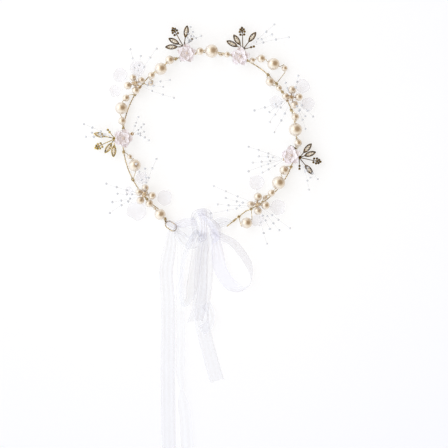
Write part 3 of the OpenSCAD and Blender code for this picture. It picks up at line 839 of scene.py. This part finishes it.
def sprig(metal, stones, m):
    """Cast button with four leaves, a bunch of berries and a twig with two more."""
    button = [(AXIS_R, 0.0), (1.5, 0.05), (1.8, 0.35), (1.75, 0.8), (1.2, 1.15), (0.7, 1.2),
              (0.5, 1.9), (0.5, 2.1), (AXIS_R, 2.1)]
    metal.add(*lathe(button, 28), m=m)
    crimp(metal, m @ moved(0, 0, 2))
    for angle, reach in LEAVES:
        turn = m @ turned(angle)
        leaf(metal, stones, turn @ moved(reach - LEAF_LEN / 2, 0, 0))
        metal.add(*tube([(0.4, 0, 0.5), (reach - LEAF_LEN + 0.8, 0, 0.5)], [0.5, 0.36], 8), m=turn)
    stalk = [(x, 0.12 * math.sin(x * 0.4), 0.5) for x in np.linspace(0.5, BERRY_REACH + 4.2, 24)]
    metal.add(*tube(stalk, np.linspace(0.44, 0.28, 24), 8), m=m)
    for x, y in BERRIES:
        at = (BERRY_REACH + x, y, 0.8)
        berry(metal, at, m)
        if y:
            metal.add(*tube([(at[0] - 0.9, 0, 0.5), at], 0.22, 6), m=m)
    side = m @ turned(-80)
    metal.add(*tube([(0.4, 0, 0.5), (5, 0.1, 0.5), (10, 0, 0.5)], [0.42, 0.34, 0.26], 8), m=side)
    for x in (7.4, 10.0):
        berry(metal, (x, 0.3, 0.7), side)


def flower(bloom, centre, m):
    """Five outer and five inner petals on a cup, with a ball of seeds."""
    bloom.add(*lathe([(AXIS_R, 0), (1.2, 0.0), (2.0, 0.5), (1.7, 1.1), (AXIS_R, 1.0)], 24), m=m)
    for i in range(5):
        phase = rng.uniform(0, 6)
        turn = m @ turned(72 * i + rng.uniform(-4, 4))
        petal = shell(petal_shape(8.6, 7.9, 0.9, 1.1, phase), 14, 12, 0.22)
        bloom.add(*petal, m=turn @ moved(0, 0, 0.7 + 0.08 * (i % 2)))
        turn = m @ turned(72 * i + 36 + rng.uniform(-5, 5))
        petal = shell(petal_shape(6.2, 5.8, 1.3, 2.0, phase + 2), 12, 10, 0.2)
        bloom.add(*petal, m=turn @ moved(0, 0, 1.2))
    m = m @ moved(0, 0, 1.2)
    centre.add(*lathe([(AXIS_R, 0), (0.8, 0.0), (0.62, 0.5), (0.6, 1.2), (AXIS_R, 1.2)], 16), m=m)
    for i in range(SEEDS):
        z = 1 - 2 * (i + 0.5) / SEEDS
        a = i * GOLDEN_ANGLE
        rr = math.sqrt(1 - z * z)
        v, f = ball(0.34, 8, 6)
        spot = 1.05 * np.array([rr * math.cos(a), rr * math.sin(a), z]) + SEED_Z * UP
        centre.add(np.array(v) + spot, f, m=m)
    v, f = ball(0.95, 14, 10)
    centre.add(np.array(v) + SEED_Z * UP, f, m=m)


for k, o in enumerate(ORNAMENTS):
    station, hub_out, heading, out, along, lean_way, lean = o
    n = k + 1
    body = f"ornament_{n}"
    base = station_frame(station)
    metal, stones, bloom, centre, threads = Mesh(), Mesh(), Mesh(), Mesh(), Mesh()
    wrap_coil(metal, station, 3, 1.24, 0.26)
    stem = [(1.2, 0, 0.3), (hub_out * 0.55, 0.15, 1.4), (hub_out, 0, HUB_Z + 0.3)]
    rise = [(0.2 * out, 0, 1.2), (out * 0.7, along * 0.4, 3.0), (out, along, FLOWER_Z - 0.1)]
    for way, r in ((stem, 0.3), (rise, 0.24)):
        twist(metal, smooth_path(way, 0.4), r, 1.9, r * 0.95, base)
    sprig(metal, stones, base @ moved(hub_out, 0, HUB_Z) @ turned(heading - station))
    flower(bloom, centre, base @ moved(out, along, FLOWER_Z) @ turned(lean_way) @ turned(lean, "Y"))
    heading, spread, length, count = ORNAMENT_SPRAYS[k]
    at = base @ moved(hub_out, 0, HUB_Z + 2) @ turned(heading - station)
    spray(threads, at, spread, length, count, 3)
    # the first sprig takes the brighter painted glints, the others the darker painted reflection
    metal.make(f"sprig_casting_{n}", [GOLD_PAINTED_DARK_REFLECTION if k else GOLD_PAINTED_BRIGHT_GLINTS], body, "sprig", [f"sprig_{n}"])
    stones.make(f"sprig_gems_{n}", [STONE], body, "stone", [f"sprig_stones_{n}"])
    bloom.make(f"flower_petals_{n}", [PETAL], body, "flower", [f"flower_{n}"])
    centre.make(f"flower_seeds_{n}", [SEED], body, "flower_center", [f"flower_center_{n}"])
    threads.make(f"ornament_threads_{n}", [THREAD, BEAD], body, "spray", [f"ornament_spray_{n}"])


# ---------------------------------------------------------------- ribbon
def strip(name, points, closeness, replaces=(), folds=3, lean=None, material=ORGANZA,
          step=1.2, pink=False, cut=0.0):
    """Ribbon along points. Closeness under 1 gathers its width into folds, lean tips it on its edge,
    cut slants its end and pink notches it; closeness and lean are [(part of its run, value), ...]."""
    p = smooth_path(points, 0.6)
    d = run_length(p)
    n = max(6, int(d[-1] / step))
    s = np.linspace(0, d[-1], n + 1)
    p = np.stack([np.interp(s, d, p[:, k]) for k in range(3)], 1)
    t = np.gradient(p, axis=0)
    t /= np.linalg.norm(t, axis=1)[:, None]
    flat = np.cross(t, UP)
    flat /= np.linalg.norm(flat, axis=1)[:, None] + 1e-9
    q = s / s[-1]
    tilt = np.radians(np.interp(q, *zip(*lean))) if lean else np.zeros(n + 1)
    across = np.cos(tilt)[:, None] * flat + np.sin(tilt)[:, None] * np.cross(flat, t)
    normal = np.cross(across, t)
    c = np.interp(q, *zip(*closeness))
    u = np.linspace(-0.5, 0.5, STRIP_COLUMNS + 1)
    height = RIBBON_W / (2 * folds) * np.sqrt(np.clip(1 - c ** 2, 0, 1)) / 2
    drift = 0.35 * np.sin(0.05 * s)[:, None]
    pleat = height[:, None] * np.cos(2 * math.pi * folds * (u[None, :] + 0.03 * drift))
    side = RIBBON_W * c[:, None] * u[None, :]
    wave = 0.16 * np.sin(0.11 * s)[:, None] * np.cos(3.1 * u)[None, :]
    wave = wave + 0.12 * np.sin(0.31 * s + 1)[:, None]
    v = p[:, None, :] + side[:, :, None] * across[:, None, :]
    v = v + (pleat + wave)[:, :, None] * normal[:, None, :]
    if cut:
        v[-1] += cut * u[:, None] * t[-1][None, :]
        v[-2] += 0.5 * cut * u[:, None] * t[-2][None, :]
    if pink:
        v[-1] += (0.7 * (-1.0) ** np.arange(STRIP_COLUMNS + 1))[:, None] * t[-1][None, :]
    v[:, :, 2] = np.maximum(v[:, :, 2], 0.15)
    mesh = Mesh()
    k = STRIP_COLUMNS + 1
    f, uv = [], []
    for j in range(n):
        y0, y1 = s[j] / RIBBON_W, s[j + 1] / RIBBON_W
        for i in range(STRIP_COLUMNS):
            f.append((j * k + i, j * k + i + 1, (j + 1) * k + i + 1, (j + 1) * k + i))
            a, b = u[i] + 0.5, u[i + 1] + 0.5
            uv.append(((a, y0), (b, y0), (b, y1), (a, y1)))
    mesh.add(v.reshape(-1, 3), f, uv=uv)
    o = mesh.make(name, [material], "crown", "ribbon", replaces)


def lying(points, z):
    """Points on the table, with z given at each or interpolated along."""
    zs = np.interp(np.linspace(0, 1, len(points)), np.linspace(0, 1, len(z)), z)
    return [(x, y, h) for (x, y), h in zip(points, zs)]


# the tails
strip("tail_a", [(-33.4, -81.5, 1.2), (-35.0, -88, 2.2)] + lying(
    [(-35.4, -96), (-39, -118), (-37.6, -143), (-37.2, -170), (-37.6, -205), (-37.4, -245),
     (-36.6, -291)], [1.6, 0.8, 0.6, 0.8, 0.5, 0.7, 0.5]),
    [(0, 0.46), (0.05, 0.8), (0.12, 0.96), (1, 0.99)], ["ribbon_tail_left"])
strip("tail_b", lying(
    [(-30, -83), (-27.6, -91), (-26.2, -104), (-26.4, -145), (-25.8, -181), (-26.4, -208),
     (-24.6, -230), (-21.4, -253), (-19.4, -289)], [2.8, 3.0, 2.2, 1.2, 1.2, 1.2, 1.6, 1.0, 0.8]),
    [(0, 0.2), (0.12, 0.5), (0.5, 0.66), (0.62, 0.6), (0.69, 0.22), (0.76, 0.8), (1, 0.88)],
    ["ribbon_tail_middle"], folds=2, material=ORGANZA_FINE)
strip("tail_c", [(-2, -84, 5.0), (-1.6, -92, 3.0)] + lying(
    [(-2.4, -104), (-3.8, -130), (-6.8, -152), (-6.6, -166), (-1.6, -188), (6.6, -217.6)],
    [1.4, 0.9, 1.1, 1.4, 0.9, 0.6]),
    [(0, 0.45), (0.1, 0.8), (0.2, 0.98), (1, 0.99)], ["ribbon_tail_right"], pink=True)
strip("tail_d", [(-6, -84, 4.0), (-6, -93, 2.0)] + lying(
    [(-7.4, -110), (-8.2, -136), (-9.4, -152), (-13, -164)], [0.8, 0.5, 0.5, 0.6]),
    [(0, 0.45), (0.2, 0.9), (1, 0.99)], cut=6.0)
strip("tail_turn", [(-3.4, -148, 1.8), (1.4, -158, 3.2), (-0.6, -167, 3.0), (-7.6, -172.4, 1.6)],
      [(0, 0.7), (0.5, 0.5), (1, 0.75)], folds=2, step=0.8)

# the loops; the left one is laid out from its root, run along it and off to its side
LOOP_ROOT, LOOP_RUN, LOOP_SIDE = np.array([-11.6, -90.6]), unit2(263), unit2(353)
LEFT_LOOP = [(-9, 2.8, 5.6), (-3, 2.2, 5.8), (14, 2.0, 5.4), (34, 1.6, 5.2), (50, 0.8, 5.4),
             (57, -1.2, 5.6), (59.2, -4.2, 5.8), (56.5, -7.2, 5.9), (46, -9.4, 5.9),
             (30, -10, 5.9), (12, -8.2, 5.9), (-3, -3.4, 5.6), (-8, 0.4, 5.2)]
strip("loop_left_cloth",
      [(*(LOOP_ROOT + run * LOOP_RUN + off * LOOP_SIDE), z) for run, off, z in LEFT_LOOP],
      [(0, 0.4), (0.12, 0.85), (0.3, 0.98), (0.8, 0.97), (1, 0.4)], ["ribbon_loop_left"],
      lean=[(0, 20), (0.12, 34), (0.38, 38), (0.45, 62), (0.55, 74), (0.85, 68), (1, 40)])
strip("loop_right_cloth",
      [(2, -82, 5.4), (5.6, -84.6, 5.8), (12, -88, 6.2), (21, -93, 6.4), (30, -104, 6.4),
       (35.6, -114, 6.0), (37.6, -122, 5.4), (36, -130, 4.2), (30, -134.4, 3.2), (24, -133.6, 2.8),
       (16.6, -128.6, 2.7), (10, -118, 2.8), (7.6, -107, 3.2), (6.4, -97, 3.6), (5, -89.4, 4.6),
       (2, -85, 5)],
      [(0, 0.5), (0.1, 0.85), (0.2, 1), (0.8, 1), (0.93, 0.8), (1, 0.5)], ["ribbon_loop_right"],
      material=ORGANZA_THICK,
      lean=[(0, 40), (0.1, 54), (0.34, 58), (0.44, 84), (0.52, 80), (0.62, 26), (0.85, 20), (1, 40)])

# the bands between the knot and the eyes
strip("band_upper",
      [(-31.4, -77.6, 1.2), (-28.4, -76.8, 3.2), (-24, -75.8, 4.8), (-18, -75, 5.8), (-11, -75.4, 6.4)],
      [(0, 0.34), (0.5, 0.62), (1, 0.5)], ["ribbon_band_left"], folds=4,
      material=ORGANZA_THICK)
strip("band_lower",
      [(-31.6, -79.4, 1.2), (-28.6, -80.8, 3.0), (-23.5, -83, 4.6), (-17, -84, 5.4), (-10, -82, 6.0)],
      [(0, 0.34), (0.5, 0.72), (1, 0.5)], folds=4)
strip("band_fall",
      [(-31.4, -80.8, 1.0), (-28, -85, 2.8), (-23.4, -90, 3.2), (-18.6, -93.4, 3.6), (-13.4, -92, 4.4)],
      [(0, 0.34), (0.4, 0.7), (1, 0.95)])
strip("band_right_upper",
      [(-1, -77.6, 5.4), (4.4, -75.6, 5.2), (10, -73.2, 4.8), (15.6, -72.8, 4.4), (20.4, -74.2, 4.2)],
      [(0, 0.4), (0.5, 0.42), (0.8, 0.3), (1, 0.1)], ["ribbon_band_right"])
strip("band_right_lower",
      [(-0.4, -81.5, 5.0), (5, -79.8, 4.6), (11, -77.2, 4.2), (17, -75.4, 4.0), (20.4, -74.8, 3.6)],
      [(0, 0.4), (0.5, 0.36), (0.8, 0.28), (1, 0.1)])
strip("eye_turn",
      [(-29.4, -79.6, 1.0), (-31.6, -78.6, 3.0), (-35, -76.6, 3.7), (-38.6, -75, 3.0), (-40.4, -74.6, 0.9)],
      [(0, 0.34), (0.5, 0.5), (1, 0.34)], material=ORGANZA_THICK, step=0.8)

# the knot: a band that passes over the loops from top to bottom, and the folds it squeezes out
strip("knot_wrap",
      [(-7.4, -67.6, 2.4), (-7.0, -65.9, 4.6), (-6.4, -67.6, 7.2), (-5.6, -73, 8.6), (-5.2, -79, 8.8),
       (-5.6, -85, 7.8), (-6.4, -88.6, 5.0), (-7, -87.6, 2.2)],
      [(0, 0.75), (0.5, 0.5), (1, 0.7)], ["ribbon_knot"],
      material=ORGANZA_THICK, step=0.8)
strip("knot_arch",
      [(-15, -73.4, 4.0), (-12.6, -68.6, 6.0), (-7, -66, 7.0), (-1.4, -67.4, 6.0), (1.4, -72, 4.2)],
      [(0, 0.2), (0.25, 0.6), (0.75, 0.6), (1, 0.14)], folds=2,
      lean=[(0, 30), (0.5, 46), (1, 30)], step=0.8)
strip("knot_fold",
      [(-6, -69, 7.4), (0, -73, 7.8), (5.2, -78.6, 7.2), (7.6, -84.6, 6.4), (6.8, -90, 5.0),
       (2.6, -93.4, 3.2)],
      [(0, 0.3), (0.5, 0.8), (0.8, 0.5), (1, 0.12)], folds=1,
      lean=[(0, 10), (0.5, 24), (1, 20)], material=ORGANZA_THICK, step=0.8)
strip("knot_tuck",
      [(-15, -70.6, 3.6), (-13.4, -76, 6.0), (-11.6, -82, 6.4), (-11.4, -88, 5.4), (-12, -93, 4.6)],
      [(0, 0.2), (0.3, 0.5), (0.6, 0.6), (1, 0.7)], folds=2,
      lean=[(0, -20), (1, -6)], step=0.8)


# ---------------------------------------------------------------- table, light and camera
def make_floor():
    """Pale table top that glows: white in the middle, and a little bluer away from it as a painted fall-off
    of the light.
    """
    m, nt, b = node_mat("table_top")
    co = object_coord(nt)
    length = nt.nodes.new("ShaderNodeVectorMath")
    length.operation = "LENGTH"
    nt.links.new(co, length.inputs[0])
    # painted fall-off: the glow turns bluer with distance from the middle
    far = remap(nt, length.outputs["Value"], 0, 1, 0.1, 0.34)
    mottle = remap(nt, noise(nt, co, 3.0), 0, 1)
    nt.links.new(mix_rgb(nt, mottle, (0.395, 0.4, 0.41), (0.405, 0.408, 0.412)), b.inputs["Base Color"])
    nt.links.new(mix_rgb(nt, far, (1.0, 1.0, 1.0), (0.92, 0.935, 1.0)), b.inputs["Emission Color"])
    b.inputs["Emission Strength"].default_value = 0.645
    nt.links.new(remap(nt, noise(nt, co, 900.0), 0.6, 0.75), b.inputs["Roughness"])
    b.inputs["Specular IOR Level"].default_value = 0.15
    me = bpy.data.meshes.new("floor")
    half, z = 3, -0.0002
    me.from_pydata([(-half, -half, z), (half, -half, z), (half, half, z), (-half, half, z)], [],
                   [(0, 1, 2, 3)])
    me.materials.append(m)
    o = bpy.data.objects.new("floor", me)
    bpy.context.scene.collection.objects.link(o)


def area_light(name, at, size, power, colour, aim_at=(0, -0.08, 0)):
    lamp = bpy.data.lights.new(name, "AREA")
    lamp.shape = "DISK"
    lamp.size = size
    lamp.energy = power
    lamp.color = colour
    o = bpy.data.objects.new(name, lamp)
    bpy.context.scene.collection.objects.link(o)
    o.location = at
    o.rotation_euler = (Vector(aim_at) - Vector(at)).to_track_quat("-Z", "Y").to_euler()


def studio_world():
    """Cool white surroundings, with a warm dark panel overhead, a little to the right, that the
    pearls and the gold mirror."""
    world = bpy.data.worlds.new("studio")
    bpy.context.scene.world = world
    world.use_nodes = True
    nt = world.node_tree
    heading = nt.nodes.new("ShaderNodeTexCoord").outputs["Generated"]
    near = remap(nt, dot_with(nt, heading, (0.52, 0.16, 0.84)), 0.0, 1.0, 0.42, 0.86)
    back = nt.nodes["Background"]
    nt.links.new(mix_rgb(nt, near, (0.9, 0.95, 1.0), (0.25, 0.165, 0.085)), back.inputs["Color"])
    back.inputs["Strength"].default_value = 1.44


make_floor()
area_light("key", (-0.8, 0.3, 0.9), 1.2, 2.6, (1.0, 0.99, 0.975))
studio_world()

camera = bpy.data.cameras.new("above")
camera.sensor_width = 36
camera.lens = 36 * CAMERA_UP / VIEW_WIDE
seat = bpy.data.objects.new("above", camera)
bpy.context.scene.collection.objects.link(seat)
seat.location = (0.013, -0.0765, CAMERA_UP * MM)
bpy.context.scene.camera = seat
bpy.context.scene.view_settings.view_transform = "Standard"

bpy.context.view_layer.update()
